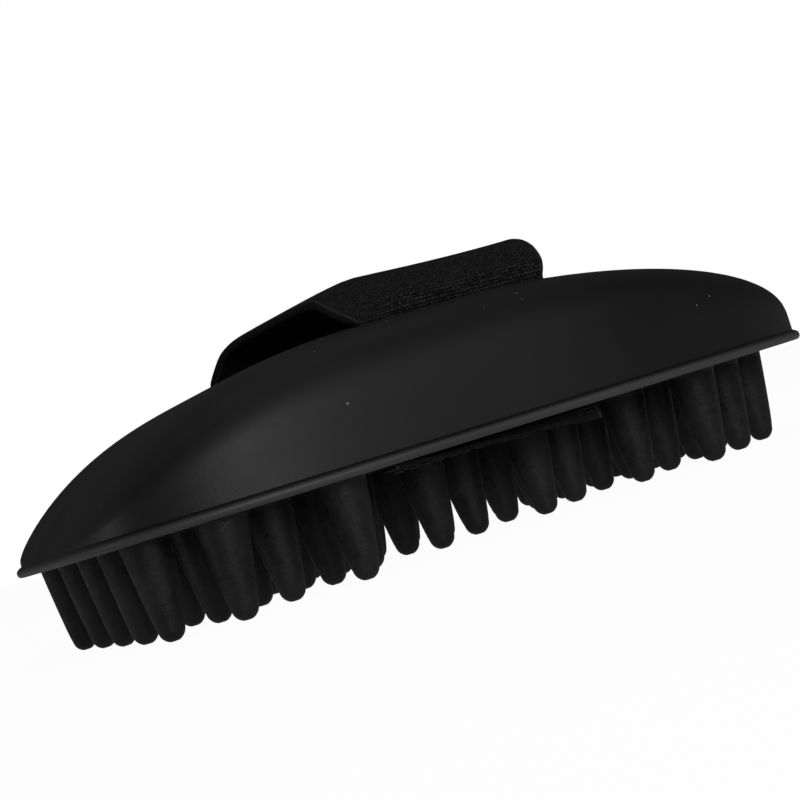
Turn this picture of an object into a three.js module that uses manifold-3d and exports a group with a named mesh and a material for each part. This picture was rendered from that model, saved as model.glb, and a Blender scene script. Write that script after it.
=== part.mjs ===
// Rubber curry brush: a hollow domed rubber body, a toothed rubber pad in its underside and a
// woven elastic hand strap that passes through two slots in the dome. Millimetres, +Z up.
// +X runs along the brush towards its narrow end, and the tooth tips stand on Z = 0.
import * as THREE from "three";
import { mergeVertices } from "three/addons/utils/BufferGeometryUtils.js";
import Module from "manifold-3d";

const wasm = await Module();
wasm.setup();

// Plan outline of the body: a blunt left half and a rounder right half that meet at WIDEST_X.
const LEFT_LENGTH = 93.6;
const RIGHT_LENGTH = 96.4;
const HALF_WIDTH = 62.5;
const WIDEST_X = -1.4;
const LEFT_BLUNTNESS = 4.3;
const RIGHT_BLUNTNESS = 2.06;
const OUTLINE_STEPS = 64;

// Dome: how far it rises over its lip, and how full it is towards each end and across the brush.
const DOME_RISE = 27.7;
const LEFT_POWER = 3.6;
const LEFT_ROOT = 1.03;
const RIGHT_POWER = 1.74;
const RIGHT_ROOT = 1.65;
const ACROSS_POWER = 6;
const ACROSS_ROOT = 5;
const CAVITY_RISE = 21.6;

// Lip round the foot of the dome.
const LIP_HEIGHT = 2.5;
const LIP_STEP = 1.9;

// Walls and the fit of the pad.
const RIM_WALL = 3.1;
const LEDGE_WIDTH = 5.7;
const PAD_THICKNESS = 3.2;
const FIT_GAP = 0.3;

// Teeth: staggered columns across the brush.
const TOOTH_LENGTH = 20.2;
const TOOTH_BASE_RADIUS = 5.1;
const TOOTH_TIP_RADIUS = 2.45;
const TOOTH_FLAT_RADIUS = 0.9;
const TOOTH_SIDES = 12;
const COLUMN_PITCH = 12.85;
const ROW_PITCH = 19.6;
const COLUMN_COUNT = 13;
const FIRST_COLUMN_X = -81.5;
const TOOTH_EDGE_MARGIN = 7.2;
const BARE_MARGIN = 14;

// Strap: an elastic band that goes down through both slots.
const STRAP_WIDTH = 50;
const STRAP_THICKNESS = 2.2;
const STRAP_X = -6.7;
const STRAP_LEAN = THREE.MathUtils.degToRad(3);
const SLOT_Y = 43.5;
const SLOT_GAP = 0.8;
const CROWN_CLEARANCE = 8.6;
const CROWN_SQUARENESS = 5.4;

// Strap ends under the rim, and the bars that the ends are held by.
const TAIL_LENGTH = 14;
const BAR_SIZE = 3.6;
const SEAM_RADIUS = 0.45;
const SEAM_LENGTH = 44;
const SEAM_FROM_END = 4.5;

// Heights that follow from the sizes above.
const rimZ = TOOTH_LENGTH;
const lipTopZ = rimZ + LIP_HEIGHT;
const domeTopZ = lipTopZ + DOME_RISE;
const padTopZ = rimZ + PAD_THICKNESS;
const ledgeZ = padTopZ + FIT_GAP;
const tailTopZ = padTopZ + 2;
const legBottomZ = tailTopZ + FIT_GAP;
const slotWidth = STRAP_THICKNESS + 2 * SLOT_GAP;
const slotLength = STRAP_WIDTH + 2 * SLOT_GAP;

const rubber = new THREE.MeshStandardMaterial({ color: 0x18181a, roughness: 0.58, metalness: 0 });
const toothRubber = new THREE.MeshStandardMaterial({ color: 0x141415, roughness: 0.8, metalness: 0 });
const elastic = new THREE.MeshStandardMaterial({ color: 0x0f0f10, roughness: 0.95, metalness: 0 });
const plastic = new THREE.MeshStandardMaterial({ color: 0x202022, roughness: 0.5, metalness: 0 });
const thread = new THREE.MeshStandardMaterial({ color: 0x161617, roughness: 0.85, metalness: 0 });

// Turns a closed three.js geometry into a solid.
function solidFrom(geometry) {
  const plain = geometry.clone();
  plain.deleteAttribute("normal");
  plain.deleteAttribute("uv");
  const merged = mergeVertices(plain, 1e-4);
  const mesh = new wasm.Mesh({
    numProp: 3,
    vertProperties: new Float32Array(merged.attributes.position.array),
    triVerts: new Uint32Array(merged.index.array),
  });
  return new wasm.Manifold(mesh);
}

// Turns a solid back into a three.js geometry.
function geometryFrom(solid) {
  const mesh = solid.getMesh();
  const geometry = new THREE.BufferGeometry();
  geometry.setAttribute("position", new THREE.BufferAttribute(mesh.vertProperties, 3));
  geometry.setIndex(new THREE.BufferAttribute(mesh.triVerts, 1));
  geometry.computeVertexNormals();
  return geometry;
}

// Half the width of the outline at x, for an outline drawn in by inset.
function halfWidthAt(x, inset) {
  const left = x < WIDEST_X;
  const length = (left ? LEFT_LENGTH : RIGHT_LENGTH) - inset;
  const power = left ? LEFT_BLUNTNESS : RIGHT_BLUNTNESS;
  const along = Math.min(Math.abs(x - WIDEST_X) / length, 1);
  return (HALF_WIDTH - inset) * (1 - along ** power) ** (1 / power);
}

// A point of the outline, drawn in by inset and then shrunk towards its centre.
function outlinePoint(angle, inset, shrink = 1) {
  const left = Math.cos(angle) < 0;
  const length = (left ? LEFT_LENGTH : RIGHT_LENGTH) - inset;
  const width = HALF_WIDTH - inset;
  const power = left ? LEFT_BLUNTNESS : RIGHT_BLUNTNESS;
  const alongShare = (Math.abs(Math.cos(angle)) / length) ** power;
  const acrossShare = (Math.abs(Math.sin(angle)) / width) ** power;
  const radius = shrink / (alongShare + acrossShare) ** (1 / power);
  return new THREE.Vector2(WIDEST_X + radius * Math.cos(angle), radius * Math.sin(angle));
}

// Height of a dome over its foot at x, y, for a foot drawn in by inset.
function domeHeight(x, y, inset, rise) {
  const left = x < WIDEST_X;
  const length = (left ? LEFT_LENGTH : RIGHT_LENGTH) - inset;
  const along = Math.min(Math.abs(x - WIDEST_X) / length, 1);
  const width = halfWidthAt(x, inset);
  const across = width > 1e-6 ? Math.min(Math.abs(y) / width, 1) : 1;
  const power = left ? LEFT_POWER : RIGHT_POWER;
  const alongFall = (1 - along ** power) ** (1 / (left ? LEFT_ROOT : RIGHT_ROOT));
  const acrossFall = (1 - across ** ACROSS_POWER) ** (1 / ACROSS_ROOT);
  return rise * alongFall * acrossFall;
}

// Wraps a stack of rings into one closed surface. Each ring gives a point for an angle, and the
// first and last rings are single points.
function wrapRings(rings) {
  const last = rings.length - 1;
  const profile = rings.map((ring, level) => new THREE.Vector2(level % last ? 1 : 0, level));
  const geometry = new THREE.LatheGeometry(profile, OUTLINE_STEPS);
  const position = geometry.getAttribute("position");
  for (let step = 0; step <= OUTLINE_STEPS; step++) {
    const angle = ((step % OUTLINE_STEPS) * 2 * Math.PI) / OUTLINE_STEPS;
    rings.forEach((ring, level) => {
      const point = ring(angle);
      position.setXYZ(step * rings.length + level, point.x, point.y, point.z);
    });
  }
  return geometry;
}

// A ring at one height, drawn in from the outline.
function flatRing(inset, z, shrink = 1) {
  return (angle) => {
    const point = outlinePoint(angle, inset, shrink);
    return new THREE.Vector3(point.x, point.y, z);
  };
}

// A ring that lies on a dome.
function domeRing(inset, footZ, rise, shrink) {
  return (angle) => {
    const point = outlinePoint(angle, inset, shrink);
    return new THREE.Vector3(point.x, point.y, footZ + domeHeight(point.x, point.y, inset, rise));
  };
}

// A box for a slot or a bar, in the strap's own leaning frame.
function strapBox(sizeX, sizeY, lowZ, highZ, y) {
  const geometry = new THREE.BoxGeometry(sizeX, sizeY, highZ - lowZ);
  geometry.translate(0, y, (lowZ + highZ) / 2);
  return geometry.applyMatrix4(strapFrame());
}

// The strap lies across the brush, leaning a little and a little left of centre.
function strapFrame() {
  const frame = new THREE.Matrix4().makeRotationZ(STRAP_LEAN);
  return frame.setPosition(STRAP_X, 0, 0);
}

// Domed body: lip, outer dome, recess for the pad, ledge over it, and the hollow.
function bodyShell() {
  const outerShrinks = [0.999, 0.99, 0.97, 0.94, 0.9, 0.84, 0.76, 0.65, 0.5, 0.3];
  const innerShrinks = [0.995, 0.97, 0.92, 0.83, 0.68, 0.4];
  const cavityInset = RIM_WALL + LEDGE_WIDTH;
  const rings = [
    flatRing(0, ledgeZ + CAVITY_RISE, 0),
    ...innerShrinks.toReversed().map((s) => domeRing(cavityInset, ledgeZ, CAVITY_RISE, s)),
    flatRing(cavityInset, ledgeZ),
    flatRing(RIM_WALL, ledgeZ),
    flatRing(RIM_WALL, rimZ),
    flatRing(0.9, rimZ),
    flatRing(0.15, rimZ + 0.6),
    flatRing(0, rimZ + 1.2),
    flatRing(0.25, rimZ + 1.9),
    flatRing(1.1, rimZ + 2.4),
    flatRing(LIP_STEP, lipTopZ),
    ...outerShrinks.map((s) => domeRing(LIP_STEP, lipTopZ, DOME_RISE, s)),
    flatRing(0, domeTopZ, 0),
  ];
  let shell = solidFrom(wrapRings(rings));
  for (const side of [-1, 1]) {
    const slot = strapBox(slotLength, slotWidth, ledgeZ + 2, domeTopZ + 5, side * SLOT_Y);
    shell = shell.subtract(solidFrom(slot));
  }
  return geometryFrom(shell);
}

// Where the teeth stand. Odd columns are half a row off, and no tooth stands by a strap end.
function toothPlaces() {
  const places = [];
  const bareHalfLength = STRAP_WIDTH / 2 + BARE_MARGIN;
  for (let column = 0; column < COLUMN_COUNT; column++) {
    const x = FIRST_COLUMN_X + column * COLUMN_PITCH;
    const shift = column % 2 ? 0.5 : 0;
    for (let row = -3; row <= 3; row++) {
      const y = (row + shift) * ROW_PITCH;
      const onPad = Math.abs(y) + TOOTH_EDGE_MARGIN < halfWidthAt(x, 0);
      const atEnd = column === COLUMN_COUNT - 1 && Math.abs(y) > ROW_PITCH;
      const byStrap = Math.abs(y) > SLOT_Y - 8 && Math.abs(x) < bareHalfLength;
      if (onPad && !atEnd && !byStrap) places.push([x, y]);
    }
  }
  return places;
}

// One tooth: a tapered finger with a round tip, rooted in the pad.
function toothGeometry() {
  const points = [new THREE.Vector2(0, 0), new THREE.Vector2(TOOTH_FLAT_RADIUS, 0)];
  for (const degrees of [35, 62, 84]) {
    const turn = THREE.MathUtils.degToRad(degrees);
    const height = TOOTH_TIP_RADIUS * (1 - Math.cos(turn));
    points.push(new THREE.Vector2(TOOTH_TIP_RADIUS * Math.sin(turn), height));
  }
  points.push(new THREE.Vector2(TOOTH_BASE_RADIUS, TOOTH_LENGTH));
  points.push(new THREE.Vector2(TOOTH_BASE_RADIUS, TOOTH_LENGTH + PAD_THICKNESS / 2));
  points.push(new THREE.Vector2(0, TOOTH_LENGTH + PAD_THICKNESS / 2));
  return new THREE.LatheGeometry(points, TOOTH_SIDES).rotateX(Math.PI / 2);
}

// Pad with its teeth, and a slot for each end of the strap.
function toothPad() {
  const inset = RIM_WALL + FIT_GAP;
  const plate = wrapRings([
    flatRing(inset, rimZ, 0),
    flatRing(inset, rimZ),
    flatRing(inset, padTopZ),
    flatRing(inset, padTopZ, 0),
  ]);
  let pad = solidFrom(plate);
  for (const side of [-1, 1]) {
    const slot = strapBox(slotLength, slotWidth, rimZ - 1, padTopZ + 1, side * SLOT_Y);
    pad = pad.subtract(solidFrom(slot));
  }
  for (const [x, y] of toothPlaces()) {
    pad = pad.add(solidFrom(toothGeometry().translate(x, y, 0)));
  }
  return geometryFrom(pad);
}

// Extrudes a band along X from the line that its middle follows in the YZ plane.
function bandGeometry(line, width, thickness) {
  const outer = [];
  const inner = [];
  line.forEach(([y, z], i) => {
    const [y0, z0] = line[Math.max(i - 1, 0)];
    const [y1, z1] = line[Math.min(i + 1, line.length - 1)];
    const length = Math.hypot(y1 - y0, z1 - z0);
    const normal = [-(z1 - z0) / length, (y1 - y0) / length];
    outer.push(new THREE.Vector2(y + (normal[0] * thickness) / 2, z + (normal[1] * thickness) / 2));
    inner.push(new THREE.Vector2(y - (normal[0] * thickness) / 2, z - (normal[1] * thickness) / 2));
  });
  const shape = new THREE.Shape([...outer, ...inner.reverse()]);
  const geometry = new THREE.ExtrudeGeometry(shape, { depth: width, bevelEnabled: false });
  const turn = new THREE.Matrix4().makeBasis(
    new THREE.Vector3(0, 1, 0),
    new THREE.Vector3(0, 0, 1),
    new THREE.Vector3(1, 0, 0),
  );
  geometry.translate(0, 0, -width / 2);
  return geometry.applyMatrix4(turn).applyMatrix4(strapFrame());
}

// Hand strap: two legs in the slots and the crown over the dome.
function handStrap() {
  const crownZ = domeTopZ + CROWN_CLEARANCE + STRAP_THICKNESS / 2;
  const shoulderZ = lipTopZ + domeHeight(STRAP_X, SLOT_Y, LIP_STEP, DOME_RISE) + 1.6;
  const line = [[-SLOT_Y, legBottomZ], [-SLOT_Y, shoulderZ - 1.5]];
  for (const share of [-0.97, -0.92, -0.85, -0.76, -0.64, -0.48, -0.26, 0, 0.26, 0.48, 0.64, 0.76,
    0.85, 0.92, 0.97]) {
    const rise = 1 - Math.abs(share) ** CROWN_SQUARENESS;
    line.push([share * SLOT_Y, shoulderZ + (crownZ - shoulderZ) * rise]);
  }
  line.push([SLOT_Y, shoulderZ - 1.5], [SLOT_Y, legBottomZ]);
  return bandGeometry(line, STRAP_WIDTH, STRAP_THICKNESS);
}

// Strap end: comes down through the pad and turns out under the rim.
function strapTail(side) {
  const tailZ = rimZ - 0.4 - STRAP_THICKNESS / 2;
  const line = [
    [side * SLOT_Y, tailTopZ],
    [side * SLOT_Y, rimZ + 0.6],
    [side * (SLOT_Y + 0.45), rimZ - 0.75],
    [side * (SLOT_Y + 1.6), tailZ],
    [side * (SLOT_Y + TAIL_LENGTH), tailZ],
  ];
  return bandGeometry(side < 0 ? line : line.reverse(), STRAP_WIDTH, STRAP_THICKNESS);
}

// Bar inside the hollow that the strap end is stitched round, resting on the pad.
function retainingBar(side) {
  const fromSlot = STRAP_THICKNESS / 2 + FIT_GAP + BAR_SIZE / 2;
  const lowZ = padTopZ + FIT_GAP;
  return strapBox(slotLength + 6, BAR_SIZE, lowZ, lowZ + BAR_SIZE, side * (SLOT_Y - fromSlot));
}

// Row of stitching under a strap end.
function tailSeam(side) {
  const y = side * (SLOT_Y + TAIL_LENGTH - SEAM_FROM_END);
  const z = rimZ - 0.4 - STRAP_THICKNESS - FIT_GAP - SEAM_RADIUS;
  const geometry = new THREE.CylinderGeometry(SEAM_RADIUS, SEAM_RADIUS, SEAM_LENGTH, 8);
  geometry.rotateZ(Math.PI / 2).translate(0, y, z);
  return geometry.applyMatrix4(strapFrame());
}

const group = new THREE.Group();

function place(name, geometry, material) {
  const mesh = new THREE.Mesh(geometry, material);
  mesh.name = name;
  group.add(mesh);
}

place("body_shell", bodyShell(), rubber);
place("tooth_pad", toothPad(), toothRubber);
place("hand_strap", handStrap(), elastic);
for (const [label, side] of [["near", -1], ["far", 1]]) {
  place("strap_tail_" + label, strapTail(side), elastic);
  place("retaining_bar_" + label, retainingBar(side), plastic);
  place("tail_seam_" + label, tailSeam(side), thread);
}

export default group;
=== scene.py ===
"""Rubber curry brush: domed rubber body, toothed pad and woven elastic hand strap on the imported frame."""

import math

import bpy
import numpy as np
from bpy.props import FloatProperty, FloatVectorProperty, IntProperty, PointerProperty
from mathutils import Matrix, Vector


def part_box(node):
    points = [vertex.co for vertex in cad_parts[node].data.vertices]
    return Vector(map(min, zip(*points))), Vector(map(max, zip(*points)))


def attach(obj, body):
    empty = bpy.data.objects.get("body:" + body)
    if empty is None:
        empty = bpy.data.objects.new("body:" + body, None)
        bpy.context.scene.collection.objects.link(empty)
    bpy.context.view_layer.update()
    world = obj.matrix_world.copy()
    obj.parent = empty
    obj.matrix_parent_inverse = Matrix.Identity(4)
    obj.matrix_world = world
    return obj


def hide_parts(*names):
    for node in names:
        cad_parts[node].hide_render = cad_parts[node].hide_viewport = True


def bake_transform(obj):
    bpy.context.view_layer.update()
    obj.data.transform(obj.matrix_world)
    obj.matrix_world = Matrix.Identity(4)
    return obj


bl_info = {
    "name": "Rubber Curry Brush",
    "version": (1, 0, 0),
    "blender": (4, 5, 0),
    "location": "View3D > Sidebar > Brush",
    "description": "Builds a domed rubber curry brush with tapered teeth and a woven elastic hand strap",
    "category": "Object",
}

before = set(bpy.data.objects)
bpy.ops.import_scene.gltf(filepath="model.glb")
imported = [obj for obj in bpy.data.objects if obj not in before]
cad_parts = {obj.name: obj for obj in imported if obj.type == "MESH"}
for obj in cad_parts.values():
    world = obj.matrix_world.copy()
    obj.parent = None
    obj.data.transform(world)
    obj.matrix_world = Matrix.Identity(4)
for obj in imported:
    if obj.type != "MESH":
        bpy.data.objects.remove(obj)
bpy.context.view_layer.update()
BODY_LOW, BODY_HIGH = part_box("body_shell")
PAD_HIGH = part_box("tooth_pad")[1]
STRAP_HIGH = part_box("hand_strap")[1]
MM = 0.001
FIT_GAP = 0.3 * MM


# --- sizes and colours ------------------------------------------------------------------------


def length_prop(name, description, default, low=0.0, high=0.3):
    return FloatProperty(
        name=name, description=description, default=default, min=low, max=high, unit="LENGTH"
    )


def colour_prop(name, description, default):
    return FloatVectorProperty(
        name=name, description=description, default=default, size=3, min=0, max=1, subtype="COLOR"
    )


class BrushBodySizes(bpy.types.PropertyGroup):
    widest_x: FloatProperty(
        name="Widest point",
        description="Where the blunt half meets the round half, along the brush",
        default=-1.4 * MM,
        unit="LENGTH",
    )
    left_bluntness: FloatProperty(
        name="Left bluntness", description="Outline power of the blunt end", default=4.3, min=2
    )
    right_bluntness: FloatProperty(
        name="Right bluntness", description="Outline power of the round end", default=2.06, min=1.5
    )
    lip_height: length_prop("Lip height", "Height of the lip under the dome", 2.5 * MM)
    lip_step: length_prop("Lip step", "How far the dome stands in from the lip", 1.3 * MM)
    rim_wall: length_prop("Rim wall", "Rubber left round the pad", 3.1 * MM)
    ledge: length_prop("Ledge", "Width of the ledge over the pad", 5.7 * MM)
    cavity_rise: length_prop("Hollow height", "Height of the hollow over the pad", 21.6 * MM)


class ToothSizes(bpy.types.PropertyGroup):
    base_radius: length_prop("Root radius", "Radius of a tooth at the pad", 5.4 * MM)
    tip_radius: length_prop("Tip radius", "Radius of the round tip", 2.75 * MM)
    flat_radius: length_prop("Tip flat", "Radius of the small flat on the tip", 0.9 * MM)
    column_pitch: length_prop("Column pitch", "Distance between tooth columns", 12.85 * MM)
    row_pitch: length_prop("Row pitch", "Distance between teeth in a column", 19.6 * MM)
    first_column_x: FloatProperty(
        name="First column", description="Place of the first column", default=-81.5 * MM,
        unit="LENGTH",
    )
    columns: IntProperty(name="Columns", description="Number of tooth columns", default=13, min=1)
    edge_margin: length_prop("Edge margin", "Least distance from the outline", 7.2 * MM)
    bare_half_length: length_prop("Bare length", "Half the stretch with no outer teeth", 39 * MM)
    tilt: FloatProperty(
        name="Tilt", description="Greatest lean of a tooth", default=math.radians(1.3),
        subtype="ANGLE",
    )
    seed: IntProperty(name="Seed", description="Seed for the lean of the teeth", default=7)


class StrapSizes(bpy.types.PropertyGroup):
    width: length_prop("Strap width", "Width of the elastic band", 50 * MM)
    thickness: length_prop("Strap thickness", "Thickness of the elastic band", 2.0 * MM)
    place_x: FloatProperty(
        name="Strap place", description="Middle of the strap along the brush", default=-6.7 * MM,
        unit="LENGTH",
    )
    lean: FloatProperty(
        name="Strap lean", description="Turn of the strap about the vertical",
        default=math.radians(3), subtype="ANGLE",
    )
    slot_y: length_prop("Slot distance", "Distance of each slot from the middle", 43.5 * MM)
    squareness: FloatProperty(
        name="Crown squareness", description="How square the crown's arch is", default=5.4, min=2
    )
    tail: length_prop("Strap end", "Length of each end turned out under the rim", 14 * MM)
    end_aside: length_prop("Near end aside", "How far the near end lies to the left", 6.2 * MM)
    end_rise: length_prop("Near end rise", "How far the near end lies up", 0.6 * MM)
    end_curl: length_prop("Near end curl", "How far the near end's right corner curls down", 2.2 * MM)
    left_pinch: length_prop("Left pinch", "How far the slot draws the left edge in", 1.4 * MM)
    right_pinch: length_prop("Right pinch", "How far the slot draws the right edge in", 3.05 * MM)
    tilt: length_prop("Crown tilt", "How far the crown leans down at its right edge", 0.7 * MM)
    corner_lift: length_prop("Corner lift", "How far the right near corner stands up", 1.5 * MM)
    slot_gap: length_prop("Slot gap", "Room at each end of a slot", 0.8 * MM)
    slot_half_width: length_prop("Slot half width", "Half the width of a slot", 1.9 * MM)
    thread_radius: length_prop("Thread radius", "Radius of the sewing thread", 0.42 * MM)
    stitch_pitch: length_prop("Stitch pitch", "Distance between stitches", 3.1 * MM)
    stitch_length: length_prop("Stitch length", "Length of a stitch", 2.5 * MM)
    droop: length_prop("Edge droop", "How far the crown's left edge curls down", 3.0 * MM)
    end_thickness: length_prop("End thickness", "Thickness of the turned-out ends", 0.9 * MM)
    rib_pitch: length_prop("Rib pitch", "Distance between the weave's ribs", 0.74 * MM)
    cord_pitch: length_prop("Cord pitch", "Distance between the weave's lengthwise cords", 1.05 * MM)


class BrushColours(bpy.types.PropertyGroup):
    rubber: colour_prop("Rubber", "Colour of the domed body", (0.0105, 0.0105, 0.011))
    tooth_rubber: colour_prop("Tooth rubber", "Colour of the teeth", (0.010, 0.010, 0.0105))
    elastic: colour_prop("Elastic", "Colour of the woven band", (0.0062, 0.0062, 0.0066))
    thread: colour_prop("Thread", "Colour of the stitching", (0.014, 0.014, 0.015))


# --- mesh helpers -----------------------------------------------------------------------------


def new_object(name, vertices, faces, material=None, sharp=35):
    mesh = bpy.data.meshes.new(name)
    mesh.from_pydata([tuple(v) for v in vertices], [], [tuple(f) for f in faces])
    mesh.validate()
    obj = bpy.data.objects.new(name, mesh)
    bpy.context.scene.collection.objects.link(obj)
    if material:
        mesh.materials.append(material)
    smooth(mesh, sharp)
    return obj


def smooth(mesh, sharp=35):
    mesh.shade_smooth()
    mesh.set_sharp_from_angle(angle=math.radians(sharp))


def bake(obj):
    """Turns what the modifiers make into a plain mesh and takes the modifiers off."""
    graph = bpy.context.evaluated_depsgraph_get()
    graph.update()
    mesh = bpy.data.meshes.new_from_object(obj.evaluated_get(graph), depsgraph=graph)
    mesh.name = obj.name
    obj.modifiers.clear()
    obj.data = mesh
    return obj


def ring_stack(rings, closed_start, closed_end):
    """Vertices and faces of a stack of rings; the ends close on a middle point."""
    count = len(rings[0])
    vertices = [v for ring in rings for v in ring]
    faces = []
    for level in range(len(rings) - 1):
        a, b = level * count, (level + 1) * count
        for i in range(count):
            j = (i + 1) % count
            faces.append((a + i, a + j, b + j, b + i))
    if closed_start is not None:
        vertices.append(closed_start)
        middle = len(vertices) - 1
        faces += [(middle, (i + 1) % count, i) for i in range(count)]
    if closed_end is not None:
        vertices.append(closed_end)
        middle = len(vertices) - 1
        top = (len(rings) - 1) * count
        faces += [(middle, top + i, top + (i + 1) % count) for i in range(count)]
    return vertices, faces


def cut(obj, cutter):
    modifier = obj.modifiers.new("cut", "BOOLEAN")
    modifier.operation = "DIFFERENCE"
    modifier.solver = "EXACT"
    modifier.object = cutter
    bake(obj)
    bpy.data.objects.remove(cutter)


def lift(obj, floor_z):
    """Keeps a mesh from reaching under a height."""
    for vertex in obj.data.vertices:
        vertex.co.z = max(vertex.co.z, floor_z)


# --- outline and dome -------------------------------------------------------------------------


def half_lengths(sizes):
    return sizes.widest_x - BODY_LOW[0], BODY_HIGH[0] - sizes.widest_x


def half_width_at(x, inset=0.0):
    sizes = bpy.context.scene.brush_body
    left, right = half_lengths(sizes)
    is_left = x < sizes.widest_x
    length = (left if is_left else right) - inset
    power = sizes.left_bluntness if is_left else sizes.right_bluntness
    along = min(abs(x - sizes.widest_x) / length, 1.0)
    return (BODY_HIGH[1] - inset) * (1 - along**power) ** (1 / power)


def outline(angle, inset, shrink=1.0):
    sizes = bpy.context.scene.brush_body
    left, right = half_lengths(sizes)
    is_left = math.cos(angle) < 0
    length = (left if is_left else right) - inset
    width = BODY_HIGH[1] - inset
    power = sizes.left_bluntness if is_left else sizes.right_bluntness
    share = (abs(math.cos(angle)) / length) ** power + (abs(math.sin(angle)) / width) ** power
    radius = shrink / share ** (1 / power)
    return sizes.widest_x + radius * math.cos(angle), radius * math.sin(angle)


LEFT_FALL, RIGHT_FALL, ACROSS_FALL = (3.6, 1.03), (1.74, 1.65), (6, 5)


def dome_height(x, y, inset, rise):
    """Height of a dome over its foot: full across the brush, falling towards both ends."""
    sizes = bpy.context.scene.brush_body
    left, right = half_lengths(sizes)
    is_left = x < sizes.widest_x
    along = min(abs(x - sizes.widest_x) / ((left if is_left else right) - inset), 1.0)
    width = half_width_at(x, inset)
    across = min(abs(y) / width, 1.0) if width > 1e-9 else 1.0
    power, root = LEFT_FALL if is_left else RIGHT_FALL
    fall = (1 - along**power) ** (1 / root)
    return rise * fall * (1 - across ** ACROSS_FALL[0]) ** (1 / ACROSS_FALL[1])


OUTLINE_STEPS = 256


def flat_ring(inset, z, shrink=1.0):
    turn = 2 * math.pi / OUTLINE_STEPS
    return [(*outline(i * turn, inset, shrink), z) for i in range(OUTLINE_STEPS)]


def dome_ring(inset, foot_z, rise, shrink):
    turn = 2 * math.pi / OUTLINE_STEPS
    ring = []
    for i in range(OUTLINE_STEPS):
        x, y = outline(i * turn, inset, shrink)
        ring.append((x, y, foot_z + dome_height(x, y, inset, rise)))
    return ring


# --- node helpers -----------------------------------------------------------------------------


class Nodes:
    """Short calls for building a node tree."""

    def __init__(self, tree):
        self.tree = tree

    def add(self, kind, **settings):
        node = self.tree.nodes.new(kind)
        for key, value in settings.items():
            setattr(node, key, value)
        return node

    def join(self, value, socket):
        if isinstance(value, bpy.types.NodeSocket):
            self.tree.links.new(value, socket)
        else:
            socket.default_value = value

    def math(self, operation, a, b=0.0, c=0.0):
        node = self.add("ShaderNodeMath", operation=operation)
        for value, socket in zip((a, b, c), node.inputs):
            self.join(value, socket)
        return node.outputs[0]

    def ramp(self, value, low, high, out_low=0.0, out_high=1.0):
        node = self.add("ShaderNodeMapRange", interpolation_type="SMOOTHSTEP")
        for socket, given in zip(node.inputs, (value, low, high, out_low, out_high)):
            self.join(given, socket)
        return node.outputs[0]

    def noise(self, vector, scale, detail=3.0, roughness=0.5):
        node = self.add("ShaderNodeTexNoise")
        self.join(vector, node.inputs["Vector"])
        node.inputs["Scale"].default_value = scale
        node.inputs["Detail"].default_value = detail
        node.inputs["Roughness"].default_value = roughness
        return node.outputs[0]

    def mix(self, factor, a, b):
        node = self.add("ShaderNodeMix", data_type="RGBA")
        self.join(factor, node.inputs[0])
        self.join(a, node.inputs[6])
        self.join(b, node.inputs[7])
        return node.outputs[2]

    def bump(self, height, distance, strength=1.0, normal=None):
        node = self.add("ShaderNodeBump")
        node.inputs["Strength"].default_value = strength
        node.inputs["Distance"].default_value = distance
        self.join(height, node.inputs["Height"])
        if normal is not None:
            self.join(normal, node.inputs["Normal"])
        return node.outputs[0]


def shade(colour, factor):
    return (*[min(c * factor, 1.0) for c in colour], 1.0)


def new_material(name):
    material = bpy.data.materials.new(name)
    material.use_nodes = True
    nodes = Nodes(material.node_tree)
    shader = material.node_tree.nodes["Principled BSDF"]
    return material, nodes, shader


def body_rubber():
    """Satin moulded rubber: cloudy sheen, fine mould grain, a few specks of dust and a painted highlight on
    the lower lip.
    """
    colour = bpy.context.scene.brush_colours.rubber
    material, nodes, shader = new_material("satin_rubber")
    place = nodes.add("ShaderNodeTexCoord").outputs["Object"]
    cloud = nodes.noise(place, 38.0, 4.0, 0.55)
    grain = nodes.noise(place, 2600.0, 3.0, 0.6)
    wave = nodes.noise(place, 16.0, 1.0, 0.4)
    specks = nodes.add("ShaderNodeTexVoronoi", feature="F1")
    nodes.join(place, specks.inputs["Vector"])
    specks.inputs["Scale"].default_value = 220.0
    near = nodes.math("LESS_THAN", specks.outputs["Distance"], 0.06)
    chosen = nodes.add("ShaderNodeSeparateColor")
    nodes.join(specks.outputs["Color"], chosen.inputs[0])
    rare = nodes.math("GREATER_THAN", chosen.outputs[0], 0.75)
    dust = nodes.math("MULTIPLY", near, rare)
    base = nodes.mix(cloud, shade(colour, 0.82), shade(colour, 1.25))
    height = nodes.add("ShaderNodeSeparateXYZ")
    nodes.join(place, height.inputs[0])
    # Painted highlight: the lower lip is painted much paler than the dome, as if lit from below, a little
    # unevenly.
    lip_top = BODY_LOW[2] + 2.2 * MM
    lip = nodes.ramp(height.outputs[2], lip_top - 1.0 * MM, lip_top, 1.0, 0.0)
    lip_highlight = nodes.math("MULTIPLY", lip, nodes.ramp(wave, 0.35, 0.6, 0.7, 1.0))
    base = nodes.mix(lip_highlight, base, shade(colour, 8.0))
    nodes.join(nodes.mix(dust, base, (0.22, 0.22, 0.215, 1)), shader.inputs["Base Color"])
    nodes.join(nodes.ramp(cloud, 0.3, 0.7, 0.44, 0.52), shader.inputs["Roughness"])
    soft = nodes.bump(wave, 0.0016, 0.35)
    nodes.join(nodes.bump(grain, 0.00003, 0.8, soft), shader.inputs["Normal"])
    shader.inputs["Specular IOR Level"].default_value = 0.42
    return material


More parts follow.
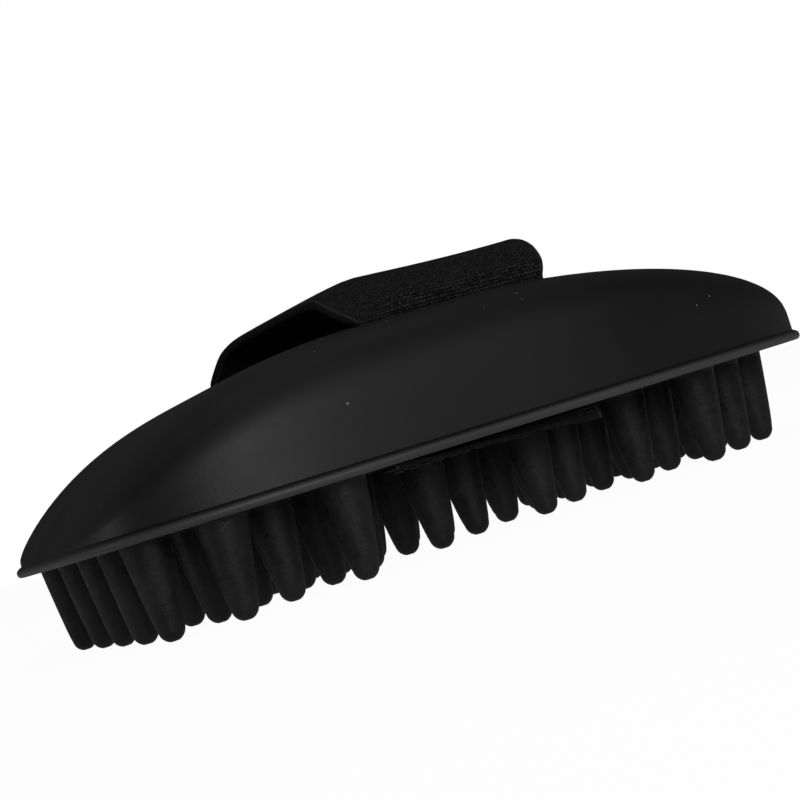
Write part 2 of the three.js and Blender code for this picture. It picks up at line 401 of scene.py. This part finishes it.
def tooth_rubber():
    """Matte moulded rubber with a mottled, slightly dusty face and painted shade at the roots."""
    colour = bpy.context.scene.brush_colours.tooth_rubber
    material, nodes, shader = new_material("matte_tooth_rubber")
    place = nodes.add("ShaderNodeTexCoord").outputs["Object"]
    mottle = nodes.noise(place, 420.0, 5.0, 0.65)
    cloud = nodes.noise(place, 60.0, 2.0, 0.5)
    grain = nodes.noise(place, 3400.0, 3.0, 0.65)
    mixed = nodes.math("MULTIPLY_ADD", cloud, 0.5, nodes.math("MULTIPLY", mottle, 0.5))
    tone = nodes.mix(nodes.ramp(mixed, 0.35, 0.65), shade(colour, 0.5), shade(colour, 2.1))
    axes = nodes.add("ShaderNodeSeparateXYZ")
    nodes.join(place, axes.inputs[0])
    # Painted shade: the roots are darkened as if shadowed by the lip and pad, most of all on the teeth that
    # stand away from the long sides.
    root = nodes.ramp(axes.outputs[2], BODY_LOW[2] - 10 * MM, BODY_LOW[2] - 1 * MM)
    depth = nodes.math("ABSOLUTE", axes.outputs[1])
    inner = nodes.ramp(depth, 42 * MM, 50 * MM, 1.0, 0.3)
    tone = nodes.mix(nodes.math("MULTIPLY", root, inner), tone, shade(colour, 0.05))
    nodes.join(tone, shader.inputs["Base Color"])
    nodes.join(nodes.ramp(mottle, 0.3, 0.7, 0.42, 0.64), shader.inputs["Roughness"])
    soft = nodes.bump(mottle, 0.00034, 0.8)
    nodes.join(nodes.bump(grain, 0.00004, 0.8, soft), shader.inputs["Normal"])
    shader.inputs["Specular IOR Level"].default_value = 0.4
    return material


def woven_elastic():
    """Woven elastic: ribs across the band, cords along it, and a plain selvedge at each edge; the knots
    carry painted highlights and the gaps painted shade.
    """
    sizes = bpy.context.scene.brush_strap
    colour = bpy.context.scene.brush_colours.elastic
    material, nodes, shader = new_material("woven_elastic")
    uv = nodes.add("ShaderNodeUVMap", uv_map="band").outputs[0]
    parts = nodes.add("ShaderNodeSeparateXYZ")
    nodes.join(uv, parts.inputs[0])
    warp = nodes.noise(uv, 700.0, 3.0, 0.6)
    across = nodes.math("MULTIPLY_ADD", warp, 0.0009, parts.outputs[0])
    along = nodes.math("MULTIPLY_ADD", warp, 0.00025, parts.outputs[1])
    rib = nodes.math("DIVIDE", along, sizes.rib_pitch)
    shift = nodes.math("MULTIPLY", nodes.math("FLOOR", rib), 0.37)
    cord = nodes.math("ADD", nodes.math("DIVIDE", across, sizes.cord_pitch), shift)
    rib_wave = nodes.math("ABSOLUTE", nodes.math("SINE", nodes.math("MULTIPLY", rib, math.pi)))
    cord_wave = nodes.math("ABSOLUTE", nodes.math("SINE", nodes.math("MULTIPLY", cord, math.pi)))
    rib_round = nodes.math("POWER", rib_wave, 0.9)
    cord_round = nodes.math("POWER", cord_wave, 0.8)
    knot = nodes.math("MULTIPLY", rib_round, nodes.math("MULTIPLY_ADD", cord_round, 0.6, 0.4))
    cell = nodes.add("ShaderNodeCombineXYZ")
    nodes.join(nodes.math("FLOOR", cord), cell.inputs[0])
    nodes.join(nodes.math("FLOOR", rib), cell.inputs[1])
    odd = nodes.add("ShaderNodeTexWhiteNoise", noise_dimensions="2D")
    nodes.join(cell.outputs[0], odd.inputs["Vector"])
    speckle = nodes.noise(uv, 2300.0, 2.0, 0.7)
    uneven = nodes.math("MULTIPLY_ADD", odd.outputs[0], 0.55, 0.25)
    uneven = nodes.math("MULTIPLY", uneven, nodes.ramp(speckle, 0.32, 0.66, 0.3, 1.9))
    body = nodes.math("MULTIPLY", knot, uneven)
    edge_place = nodes.math("ABSOLUTE", parts.outputs[0])
    half = sizes.width / 2
    edge = nodes.math("GREATER_THAN", edge_place, half - 0.0009)
    edge_rib = nodes.math(
        "ABSOLUTE", nodes.math("SINE", nodes.math("MULTIPLY", rib, math.pi * 1.5))
    )
    edge_height = nodes.math("MULTIPLY_ADD", edge_rib, 0.45, 0.55)
    mixer = nodes.add("ShaderNodeMix")
    nodes.join(edge, mixer.inputs[0])
    nodes.join(body, mixer.inputs[2])
    nodes.join(edge_height, mixer.inputs[3])
    height = mixer.outputs[0]
    fuzz = nodes.noise(uv, 5200.0, 2.0, 0.6)
    # Painted highlight and shade: the weave's raised knots are painted up to twelve times paler and its
    # gaps nearly black, following the weave's height.
    tone = nodes.mix(nodes.ramp(height, 0.2, 0.75), shade(colour, 0.03), shade(colour, 12.0))
    tone = nodes.mix(edge, tone, shade(colour, 0.5))
    cut_end = nodes.ramp(parts.outputs[1], 0.2 * MM, 2.0 * MM, 0.75, 0.0)
    tone = nodes.mix(cut_end, tone, shade(colour, 1.5))
    hem = nodes.math("COMPARE", edge_place, half - 0.0008, 0.00028)
    tone = nodes.mix(hem, tone, shade(colour, 6.5))
    nodes.join(tone, shader.inputs["Base Color"])
    nodes.join(nodes.ramp(fuzz, 0.3, 0.7, 0.72, 0.9), shader.inputs["Roughness"])
    weave = nodes.bump(height, 0.0006, 1.0)
    nodes.join(nodes.bump(fuzz, 0.00006, 0.7, weave), shader.inputs["Normal"])
    shader.inputs["Specular IOR Level"].default_value = 0.22
    shader.inputs["Sheen Weight"].default_value = 0.05
    shader.inputs["Sheen Roughness"].default_value = 0.5
    shader.inputs["Sheen Tint"].default_value = (0.5, 0.5, 0.52, 1)
    return material


def seam_thread():
    """Twisted sewing thread."""
    colour = bpy.context.scene.brush_colours.thread
    material, nodes, shader = new_material("seam_thread")
    place = nodes.add("ShaderNodeTexCoord").outputs["Object"]
    twist = nodes.add("ShaderNodeTexWave", wave_type="BANDS", bands_direction="DIAGONAL")
    nodes.join(place, twist.inputs["Vector"])
    twist.inputs["Scale"].default_value = 700.0
    twist.inputs["Distortion"].default_value = 1.5
    nodes.join(
        nodes.mix(twist.outputs["Fac"], shade(colour, 0.6), shade(colour, 2.2)),
        shader.inputs["Base Color"],
    )
    nodes.join(nodes.bump(twist.outputs["Fac"], 0.0001, 0.8), shader.inputs["Normal"])
    shader.inputs["Roughness"].default_value = 0.8
    return material


def bar_plastic():
    """Plain moulded plastic with flow marks."""
    material, nodes, shader = new_material("bar_plastic")
    place = nodes.add("ShaderNodeTexCoord").outputs["Object"]
    flow = nodes.noise(place, 300.0, 3.0, 0.6)
    nodes.join(
        nodes.mix(flow, (0.012, 0.012, 0.013, 1), (0.022, 0.022, 0.023, 1)),
        shader.inputs["Base Color"],
    )
    nodes.join(nodes.ramp(flow, 0.3, 0.7, 0.4, 0.55), shader.inputs["Roughness"])
    nodes.join(nodes.bump(flow, 0.0001, 0.5), shader.inputs["Normal"])
    return material


# --- geometry node trees ----------------------------------------------------------------------


class Tree(Nodes):
    """A geometry node tree with named inputs."""

    def __init__(self, name):
        tree = bpy.data.node_groups.new(name, "GeometryNodeTree")
        super().__init__(tree)
        tree.interface.new_socket("Geometry", in_out="INPUT", socket_type="NodeSocketGeometry")
        tree.interface.new_socket("Geometry", in_out="OUTPUT", socket_type="NodeSocketGeometry")
        self.start = self.add("NodeGroupInput")
        self.end = self.add("NodeGroupOutput")
        self.given = {}

    def input(self, name, kind, value):
        socket = self.tree.interface.new_socket(name, in_out="INPUT", socket_type=kind)
        self.given[socket.identifier] = value
        return self.start.outputs[name]

    def finish(self, geometry, material):
        """Ends the tree in Realize Instances and Set Material."""
        real = self.add("GeometryNodeRealizeInstances")
        self.join(geometry, real.inputs[0])
        paint = self.add("GeometryNodeSetMaterial")
        self.join(real.outputs[0], paint.inputs["Geometry"])
        self.join(self.input("Material", "NodeSocketMaterial", material), paint.inputs["Material"])
        self.join(paint.outputs[0], self.end.inputs[0])

    def run(self, obj):
        """Puts the tree on an object, sets its inputs and bakes it."""
        modifier = obj.modifiers.new(self.tree.name, "NODES")
        modifier.node_group = self.tree
        for identifier, value in self.given.items():
            modifier[identifier] = value
        return bake(obj)


def scatter_tree(name, copy, tilt, seed, material):
    """Sets a copy of one shape on every point, each leaning a little its own way."""
    tree = Tree(name)
    shape = tree.add("GeometryNodeObjectInfo")
    tree.join(tree.input("Shape", "NodeSocketObject", copy), shape.inputs["Object"])
    lean = tree.add("FunctionNodeRandomValue", data_type="FLOAT_VECTOR")
    most = tree.add("ShaderNodeCombineXYZ")
    least = tree.add("ShaderNodeCombineXYZ")
    tilt_socket = tree.input("Tilt", "NodeSocketFloat", tilt)
    down = tree.math("MULTIPLY", tilt_socket, -1.0)
    for i in (0, 1):
        tree.join(tilt_socket, most.inputs[i])
        tree.join(down, least.inputs[i])
    tree.join(least.outputs[0], lean.inputs[0])
    tree.join(most.outputs[0], lean.inputs[1])
    tree.join(tree.input("Seed", "NodeSocketInt", seed), lean.inputs["Seed"])
    turn = tree.add("FunctionNodeEulerToRotation")
    tree.join(lean.outputs[0], turn.inputs[0])
    place = tree.add("GeometryNodeInstanceOnPoints")
    tree.join(tree.start.outputs["Geometry"], place.inputs["Points"])
    tree.join(shape.outputs["Geometry"], place.inputs["Instance"])
    tree.join(turn.outputs[0], place.inputs["Rotation"])
    tree.finish(place.outputs[0], material)
    return tree


def stitch_tree(name, first, last, pitch, radius, length, material):
    """A row of rounded stitches from one point to another."""
    tree = Tree(name)
    line = tree.add("GeometryNodeCurvePrimitiveLine")
    tree.join(tree.input("Start", "NodeSocketVector", first), line.inputs["Start"])
    tree.join(tree.input("End", "NodeSocketVector", last), line.inputs["End"])
    points = tree.add("GeometryNodeCurveToPoints", mode="LENGTH")
    tree.join(line.outputs[0], points.inputs["Curve"])
    tree.join(tree.input("Pitch", "NodeSocketFloat", pitch), points.inputs["Length"])
    ball = tree.add("GeometryNodeMeshUVSphere")
    ball.inputs["Segments"].default_value = 12
    ball.inputs["Rings"].default_value = 8
    tree.join(tree.input("Thread radius", "NodeSocketFloat", radius), ball.inputs["Radius"])
    place = tree.add("GeometryNodeInstanceOnPoints")
    tree.join(points.outputs["Points"], place.inputs["Points"])
    tree.join(ball.outputs["Mesh"], place.inputs["Instance"])
    stretch = tree.add("ShaderNodeCombineXYZ")
    ratio = tree.math("DIVIDE", tree.input("Stitch length", "NodeSocketFloat", length), radius * 2)
    tree.join(ratio, stretch.inputs[0])
    stretch.inputs[1].default_value = 1.0
    stretch.inputs[2].default_value = 0.8
    tree.join(stretch.outputs[0], place.inputs["Scale"])
    tree.finish(place.outputs[0], material)
    return tree


# --- strap line -------------------------------------------------------------------------------


def ease(share):
    """Smooth step from 0 to 1."""
    share = min(max(share, 0.0), 1.0)
    return share * share * (3 - 2 * share)


def strap_frame():
    sizes = bpy.context.scene.brush_strap
    return Matrix.Translation((sizes.place_x, 0, 0)) @ Matrix.Rotation(sizes.lean, 4, "Z")


def strap_line():
    """Middle line of the band in the YZ plane, from the near end over the crown to the far end."""
    sizes = bpy.context.scene.brush_strap
    body = bpy.context.scene.brush_body
    slot = sizes.slot_y
    rim_z = BODY_LOW[2]
    foot = rim_z + body.lip_height
    rise = BODY_HIGH[2] - foot
    shoulder = foot + dome_height(sizes.place_x, slot, body.lip_step, rise) + 1.6 * MM
    crown = STRAP_HIGH[2] - 1.1 * MM
    tail_z = rim_z - 0.35 * MM - sizes.thickness / 2
    half = [(slot + sizes.tail, tail_z), (slot + sizes.tail * 0.6, tail_z)]
    half += [(slot + 2.4 * MM, tail_z), (slot + 0.3 * MM, tail_z + 0.5 * MM)]
    half += [(slot, rim_z + 1.2 * MM), (slot, rim_z + 8 * MM), (slot, shoulder - 8 * MM)]
    half += [(slot, shoulder - 1.6 * MM)]
    for share in (0.975, 0.94, 0.89, 0.83, 0.76, 0.68, 0.58, 0.46, 0.32, 0.16):
        lift = 1 - share**sizes.squareness
        half.append((share * slot, shoulder + (crown - shoulder) * lift))
    points = [(-y, z) for y, z in half] + [(0.0, crown)] + half[::-1]
    line = np.array(points)
    for _ in range(3):
        a, b = line[:-1], line[1:]
        cut = np.empty((2 * len(a), 2))
        cut[0::2], cut[1::2] = a * 0.75 + b * 0.25, a * 0.25 + b * 0.75
        line = np.vstack([line[:1], cut, line[-1:]])
    gaps = np.hypot(*np.diff(line, axis=0).T)
    reach = np.concatenate([[0], np.cumsum(gaps)])
    even = np.linspace(0, reach[-1], int(reach[-1] / (0.7 * MM)))
    return np.stack([np.interp(even, reach, line[:, k]) for k in (0, 1)], axis=1), even


def strap_slots(name, low, high):
    """Rounded blocks that cut the two strap slots between two heights."""
    sizes = bpy.context.scene.brush_strap
    half_long = sizes.width / 2 + sizes.slot_gap
    half_wide = sizes.slot_half_width
    vertices, faces = [], []
    for side in (-1, 1):
        ring = []
        for end in (-1, 1):
            for step in range(9):
                angle = math.pi * (step / 8 - 0.5) + (math.pi if end < 0 else 0)
                x = end * (half_long - half_wide) + half_wide * math.cos(angle)
                ring.append((x, side * sizes.slot_y + half_wide * math.sin(angle)))
        ring.sort(key=lambda p: math.atan2(p[1] - side * sizes.slot_y, p[0]))
        first = len(vertices)
        count = len(ring)
        vertices += [strap_frame() @ Vector((x, y, z)) for z in (low, high) for x, y in ring]
        faces.append([first + i for i in reversed(range(count))])
        faces.append([first + count + i for i in range(count)])
        for i in range(count):
            j = (i + 1) % count
            faces.append((first + i, first + j, first + count + j, first + count + i))
    return new_object(name, vertices, faces)


# --- operators --------------------------------------------------------------------------------


# Camera: where it stands, the level view's right and up, and how far it is rolled.
LENS_MM = 85.7
EYE = (-0.17496, -0.40216, 0.02141)
VIEW_RIGHT = Vector((0.92085, -0.38988, -0.00487))
VIEW_UP = Vector((-0.00650, -0.02783, 0.99959))
VIEW_ROLL = math.radians(-16.87)

# Lamps: name, place, disc size, power and colour.
LAMPS = [
    ("key", (0.45, -0.80, 0.42), 0.60, 0.26, (1, 1, 1)),
    ("front", (-0.14, -0.90, 0.20), 0.32, 1.9, (1, 1, 1)),
    ("upper_front", (-0.05, -0.50, 0.66), 0.80, 0.34, (1, 1, 1)),
    ("top", (0.0, 0.12, 0.75), 0.80, 0.22, (1, 1, 1)),
    ("left_low", (-0.90, 0.22, 0.09), 0.18, 0.35, (1, 1, 1)),
    ("left_warm", (-0.62, 0.42, 0.30), 0.60, 0.10, (1.0, 0.80, 0.74)),
]


class BRUSH_OT_stage(bpy.types.Operator):
    """Sets the pale floor, the soft lights and the camera"""

    bl_idname = "brush.stage"
    bl_label = "Stage"

    def execute(self, context):
        scene = context.scene
        scene.view_settings.view_transform = "Standard"
        self.camera(scene)
        self.floor()
        self.sky(scene)
        for name, place, size, power, colour in LAMPS:
            self.lamp(scene, name, Vector(place), size, power, colour)
        return {"FINISHED"}

    def camera(self, scene):
        lens = bpy.data.cameras.new("camera")
        lens.sensor_width = 36
        lens.lens = LENS_MM
        lens.clip_start = 0.01
        eye = bpy.data.objects.new("camera", lens)
        scene.collection.objects.link(eye)
        right = VIEW_RIGHT * math.cos(VIEW_ROLL) + VIEW_UP * math.sin(VIEW_ROLL)
        up = VIEW_UP * math.cos(VIEW_ROLL) - VIEW_RIGHT * math.sin(VIEW_ROLL)
        back = right.cross(up).normalized()
        turn = Matrix((right, back.cross(right), back)).transposed().to_4x4()
        eye.matrix_world = Matrix.Translation(EYE) @ turn
        scene.camera = eye

    def floor(self):
        size = 4.0
        corners = [(-size, -size, 0), (size, -size, 0), (size, size, 0), (-size, size, 0)]
        material, nodes, shader = new_material("pale_floor")
        shader.inputs["Base Color"].default_value = (0.86, 0.86, 0.86, 1)
        shader.inputs["Roughness"].default_value = 0.9
        shader.inputs["Specular IOR Level"].default_value = 0.0
        ray = nodes.add("ShaderNodeLightPath").outputs["Is Camera Ray"]
        glow = nodes.add("ShaderNodeEmission")
        nodes.join(nodes.math("MULTIPLY_ADD", ray, 0.85, 0.22), glow.inputs["Strength"])
        blend = nodes.add("ShaderNodeMixShader")
        blend.inputs[0].default_value = 0.9
        nodes.join(shader.outputs[0], blend.inputs[1])
        nodes.join(glow.outputs[0], blend.inputs[2])
        nodes.join(blend.outputs[0], nodes.tree.nodes["Material Output"].inputs["Surface"])
        obj = new_object("floor", corners, [(0, 1, 2, 3)], material)

    def sky(self, scene):
        world = bpy.data.worlds.new("studio")
        world.use_nodes = True
        scene.world = world
        nodes = Nodes(world.node_tree)
        dim = world.node_tree.nodes["Background"]
        dim.inputs["Color"].default_value = (1, 1, 1, 1)
        dim.inputs["Strength"].default_value = 0.05
        white = nodes.add("ShaderNodeBackground")
        white.inputs["Strength"].default_value = 1.0
        white.inputs["Color"].default_value = (1, 1, 1, 1)
        blend = nodes.add("ShaderNodeMixShader")
        nodes.join(nodes.add("ShaderNodeLightPath").outputs["Is Camera Ray"], blend.inputs[0])
        nodes.join(dim.outputs[0], blend.inputs[1])
        nodes.join(white.outputs[0], blend.inputs[2])
        nodes.join(blend.outputs[0], world.node_tree.nodes["World Output"].inputs["Surface"])

    def lamp(self, scene, name, place, size, power, colour):
        light = bpy.data.lights.new(name, "AREA")
        light.shape = "DISK"
        light.size = size
        light.energy = power
        light.color = colour
        obj = bpy.data.objects.new(name, light)
        scene.collection.objects.link(obj)
        obj.visible_camera = False
        obj.location = place
        aim = Vector((0, 0, 0.03)) - place
        obj.rotation_euler = aim.to_track_quat("-Z", "Y").to_euler()


# The lip's section: its underside in millimetres, then its top in shares of its step and height.
LIP_UNDERSIDE = [(1.2, 0), (0.72, 0.05), (0.36, 0.22), (0.12, 0.5), (0.01, 0.85), (0.0, 1.05)]
LIP_TOP = [
    (0.023, 0.54), (0.092, 0.648), (0.215, 0.736), (0.369, 0.808), (0.523, 0.864),
    (0.677, 0.912), (0.808, 0.948), (0.915, 0.976), (1, 1),
]


class BRUSH_OT_body(bpy.types.Operator):
    """Makes the domed rubber body with its lip, its hollow and the strap slots"""

    bl_idname = "brush.body"
    bl_label = "Domed body"

    def execute(self, context):
        sizes = context.scene.brush_body
        low = BODY_LOW[2]
        foot = low + sizes.lip_height
        rise = BODY_HIGH[2] - foot
        ledge = PAD_HIGH[2] + FIT_GAP
        inner = sizes.rim_wall + sizes.ledge
        rings = [
            dome_ring(inner, ledge, sizes.cavity_rise, s)
            for s in (0.03, 0.15, 0.35, 0.55, 0.7, 0.82, 0.9, 0.955, 0.985, 0.997)
        ]
        lip = [(inner, ledge), (sizes.rim_wall, ledge), (sizes.rim_wall, low)]
        rings += [flat_ring(inset, z) for inset, z in lip]
        rings += [flat_ring(inset * MM, low + z * MM) for inset, z in LIP_UNDERSIDE]
        rings += [
            flat_ring(sizes.lip_step * step, low + sizes.lip_height * height)
            for step, height in LIP_TOP
        ]
        shrinks = [1 - 0.97 * (i / 60) ** 2.6 for i in range(1, 61)]
        shrinks = [0.9995, 0.9985] + [s for s in shrinks if s < 0.9975]
        rings += [dome_ring(sizes.lip_step, foot, rise, s) for s in shrinks]
        bottom = (sizes.widest_x, 0, ledge + sizes.cavity_rise)
        top = (sizes.widest_x, 0, foot + rise)
        vertices, faces = ring_stack(rings, bottom, top)
        shell = new_object("domed_body", vertices, faces, body_rubber())
        cut(shell, strap_slots("slot_cut", ledge + 2 * MM, BODY_HIGH[2] + 5 * MM))
        smooth(shell.data, 40)
        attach(shell, "brush")
        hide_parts("body_shell")
        return {"FINISHED"}


class BRUSH_OT_teeth(bpy.types.Operator):
    """Makes the pad and grows its tapered teeth"""

    bl_idname = "brush.teeth"
    bl_label = "Toothed pad"

    def execute(self, context):
        material = tooth_rubber()
        self.plate(context, material)
        self.teeth(context, material)
        return {"FINISHED"}

    def plate(self, context, material):
        sizes = context.scene.brush_body
        low, high = BODY_LOW[2], PAD_HIGH[2]
        inset = sizes.rim_wall + FIT_GAP
        edge = 0.25 * MM
        rings = [
            flat_ring(inset, low, 0.4), flat_ring(inset, low, 0.9),
            flat_ring(inset + edge, low), flat_ring(inset, low + edge),
            flat_ring(inset, high - edge), flat_ring(inset + edge, high),
            flat_ring(inset, high, 0.5),
        ]
        middle = sizes.widest_x
        vertices, faces = ring_stack(rings, (middle, 0, low), (middle, 0, high))
        plate = new_object("pad_plate", vertices, faces, material)
        cut(plate, strap_slots("pad_cut", low - 1 * MM, high + 1 * MM))
        smooth(plate.data, 40)
        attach(plate, "brush")
        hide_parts("tooth_pad")

    def places(self, context):
        teeth, strap = context.scene.brush_teeth, context.scene.brush_strap
        found = []
        for column in range(teeth.columns):
            x = teeth.first_column_x + column * teeth.column_pitch
            shift = 0.5 if column % 2 else 0.0
            for row in range(-3, 4):
                y = (row + shift) * teeth.row_pitch
                on_pad = abs(y) + teeth.edge_margin < half_width_at(x)
                at_end = column == teeth.columns - 1 and abs(y) > teeth.row_pitch + 1e-6
                by_strap = abs(y) > strap.slot_y - 8 * MM and abs(x) < teeth.bare_half_length
                if on_pad and not at_end and not by_strap:
                    found.append((x, y, BODY_LOW[2]))
        return found

    def tooth(self, context, material):
        """One tapered tooth, hanging from its root at the origin, with a small fillet."""
        sizes = context.scene.brush_teeth
        length = BODY_LOW[2]
        tip, flat = sizes.tip_radius, sizes.flat_radius
        profile = [(flat * 0.5, -length), (flat, -length)]
        first = math.asin(flat / tip)
        for turn in np.linspace(first, math.radians(84), 10)[1:]:
            profile.append((tip * math.sin(turn), -length + tip * (math.cos(first) - math.cos(turn))))
        start = profile[-1][1]
        for share in (0.06, 0.13, 0.22, 0.34, 0.48, 0.62, 0.75, 0.86, 0.94, 0.985):
            radius = tip + (sizes.base_radius - tip) * share**0.85
            profile.append((radius, start * (1 - share)))
        profile += [(sizes.base_radius + 0.1 * MM, -0.1 * MM), (sizes.base_radius, 0.3 * MM)]
        sides = 40
        rings = [
            [(r * math.cos(a), r * math.sin(a), z) for a in np.linspace(0, 2 * math.pi, sides, False)]
            for r, z in profile
        ]
        vertices, faces = ring_stack(rings, (0, 0, -length), (0, 0, 0.3 * MM))
        return new_object("tooth", vertices, faces, material, 60)

    def teeth(self, context, material):
        sizes = context.scene.brush_teeth
        tooth = self.tooth(context, material)
        roots = new_object("rubber_teeth", self.places(context), [], material)
        scatter_tree("tooth_field", tooth, sizes.tilt, sizes.seed, material).run(roots)
        bpy.data.objects.remove(tooth)
        lift(roots, 0.0)
        smooth(roots.data, 60)
        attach(roots, "brush")
        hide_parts("tooth_pad")


class BRUSH_OT_strap(bpy.types.Operator):
    """Makes the woven elastic band, from one turned-out end over the crown to the other"""

    bl_idname = "brush.strap"
    bl_label = "Hand strap"

    def execute(self, context):
        sizes = context.scene.brush_strap
        line, reach = strap_line()
        steps = np.gradient(line, axis=0)
        steps /= np.linalg.norm(steps, axis=1)[:, None]
        normals = np.stack([-steps[:, 1], steps[:, 0]], axis=1)
        half_w, half_t = sizes.width / 2, sizes.thickness / 2
        section = self.section(half_w, half_t)
        turn = strap_frame()
        rings = []
        for (y, z), (ny, nz) in zip(line, normals):
            ring = []
            thin = self.thinning(y)
            for x, offset in section:
                dx, dy, dz = self.slack(x / half_w, y, z)
                offset *= thin
                ring.append(turn @ Vector((x + dx, y + dy + ny * offset, z + dz + nz * offset)))
            rings.append(ring)
        ends = [sum(rings[i], Vector()) / len(rings[i]) for i in (0, -1)]
        vertices, faces = ring_stack(rings, *ends)
        band = new_object("hand_strap_band", vertices, faces, woven_elastic(), 50)
        self.unwrap(band, section, reach)
        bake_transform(band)
        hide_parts("hand_strap", "strap_tail_near", "strap_tail_far")
        return {"FINISHED"}

    def section(self, half_w, half_t):
        """Outline of the band's cross-section: across one face, round the edge and back."""
        across = np.linspace(-1, 1, 33)
        top = [(x * (half_w - half_t), half_t) for x in across]
        bend = [
            (half_w - half_t + half_t * math.cos(a), half_t * math.sin(a))
            for a in (math.radians(d) for d in (55, 20, -20, -55))
        ]
        bottom = [(-x, -t) for x, t in top]
        other = [(-x, -t) for x, t in bend]
        return top + bend + bottom + other

    def thinning(self, y):
        """The turned-out ends are pressed thinner than the rest of the band."""
        sizes = bpy.context.scene.brush_strap
        end = ease((abs(y) - sizes.slot_y - 0.5 * MM) / (2 * MM))
        return 1 - end * (1 - sizes.end_thickness / sizes.thickness)

    def slack(self, share, y, z):
        """How far the soft band lies off its even line, at a share of its half width."""
        sizes = bpy.context.scene.brush_strap
        to_left, to_right = max(-share, 0), max(share, 0)
        curled = max((to_left - 0.5) / 0.5, 0) ** 1.15
        crown = ease((z - BODY_HIGH[2] + 1 * MM) / (8 * MM))
        corner = crown * math.exp(-(((y + 36 * MM) / (9 * MM)) ** 2))
        dy = 0.0
        dz = -crown * (sizes.droop * curled + sizes.tilt * share)
        dz += corner * sizes.corner_lift * to_right**1.5
        if y < 0 and z > BODY_LOW[2] + 20 * MM:
            pull, straight_y, straight_z = self.fold(y, z)
            pull *= curled
            dy = pull * (straight_y - y)
            dz = dz * (1 - pull) + pull * (straight_z - z)
        pinch = min(max((BODY_HIGH[2] + 5.1 * MM - z) / (6.3 * MM), 0), 1) ** 1.3 * (y < 0)
        end = ease((-y - sizes.slot_y - 1.5 * MM) / (7 * MM))
        curl = ease((-y - sizes.slot_y - 11.6 * MM) / (2.6 * MM))
        spread = (share + 1) / 2
        dx = -pinch * (1 - end) * (sizes.right_pinch * to_right - sizes.left_pinch * to_left)
        dx -= end * sizes.end_aside
        dy += end * 0.5 * MM + curl * 1.5 * MM * spread
        ripple = 0.2 * MM * math.sin(share * 9)
        dz += end * sizes.end_rise - curl * (sizes.end_curl * spread**1.2 + ripple)
        return dx, dy, dz

    def fold(self, y, z):
        """How much the near leg's left corner is pulled straight there, and where it then lies."""
        sizes = bpy.context.scene.brush_strap
        bend_y, bend_z = 0.65 * sizes.slot_y, STRAP_HIGH[2] - 1.1 * MM
        foot_z = BODY_HIGH[2] - 0.8 * MM
        fall = (-y - bend_y + bend_z - z) / (sizes.slot_y - bend_y + bend_z - foot_z)
        fall = min(max(fall, 0), 1)
        straight_y = -bend_y - (sizes.slot_y - bend_y) * fall
        straight_z = bend_z - sizes.droop + (foot_z - bend_z + sizes.droop) * fall
        return ease((-y - bend_y + 4 * MM) / (8 * MM)), straight_y, straight_z

    def unwrap(self, band, section, reach):
        mesh = band.data
        layer = mesh.uv_layers.new(name="band")
        count = len(section)
        along = np.concatenate([np.repeat(reach, count), [reach[0], reach[-1]]])
        across = np.concatenate([np.tile([x for x, _ in section], len(reach)), [0, 0]])
        index = np.empty(len(mesh.loops), dtype=np.int32)
        mesh.loops.foreach_get("vertex_index", index)
        uv = np.stack([across[index], along[index]], axis=1).astype(np.float32)
        layer.data.foreach_set("uv", uv.ravel())


class BRUSH_OT_fastening(bpy.types.Operator):
    """Sews the rows of stitches through the strap ends and finishes the hidden bars"""

    bl_idname = "brush.fastening"
    bl_label = "Stitches and bars"

    def execute(self, context):
        sizes = context.scene.brush_strap
        thread = seam_thread()
        for end in ("near", "far"):
            low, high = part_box("tail_seam_" + end)
            y, z = (low[1] + high[1]) / 2, (low[2] + high[2]) / 2 + 1.7 * MM
            slope = (high[1] - low[1] - 0.9 * MM) / (high[0] - low[0])
            run = (high[0] - low[0]) / 2
            middle = (low[0] + high[0]) / 2
            if end == "near":
                middle -= sizes.end_aside
            first = (middle - run, y - slope * run, z)
            last = (middle + run, y + slope * run, z)
            row = new_object("tail_stitches_" + end, [(0, 0, 0)], [], thread)
            stitches = stitch_tree(
                "stitches", first, last, sizes.stitch_pitch, sizes.thread_radius,
                sizes.stitch_length, thread,
            )
            stitches.run(row)
            smooth(row.data, 60)
            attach(row, "brush")
            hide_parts("tail_seam_" + end)
        plastic = bar_plastic()
        for end in ("near", "far"):
            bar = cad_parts["retaining_bar_" + end]
            bar.material_slots[0].material = plastic
        return {"FINISHED"}


class BRUSH_PT_panel(bpy.types.Panel):
    """Lists the brush's pieces"""

    bl_idname = "BRUSH_PT_panel"
    bl_label = "Rubber Curry Brush"
    bl_space_type = "VIEW_3D"
    bl_region_type = "UI"
    bl_category = "Brush"

    def draw(self, context):
        for kind in OPERATORS:
            self.layout.operator(kind.bl_idname)


OPERATORS = (
    BRUSH_OT_stage,
    BRUSH_OT_body,
    BRUSH_OT_teeth,
    BRUSH_OT_strap,
    BRUSH_OT_fastening,
)
GROUPS = {
    "brush_body": BrushBodySizes,
    "brush_teeth": ToothSizes,
    "brush_strap": StrapSizes,
    "brush_colours": BrushColours,
}


def register():
    for kind in (*GROUPS.values(), *OPERATORS, BRUSH_PT_panel):
        bpy.utils.register_class(kind)
    for name, kind in GROUPS.items():
        setattr(bpy.types.Scene, name, PointerProperty(type=kind))


def unregister():
    for name in GROUPS:
        delattr(bpy.types.Scene, name)
    for kind in reversed((*GROUPS.values(), *OPERATORS, BRUSH_PT_panel)):
        bpy.utils.unregister_class(kind)


def main():
    register()
    bpy.ops.brush.stage()
    bpy.ops.brush.body()
    bpy.ops.brush.teeth()
    bpy.ops.brush.strap()
    bpy.ops.brush.fastening()


if __name__ == "__main__":
    main()
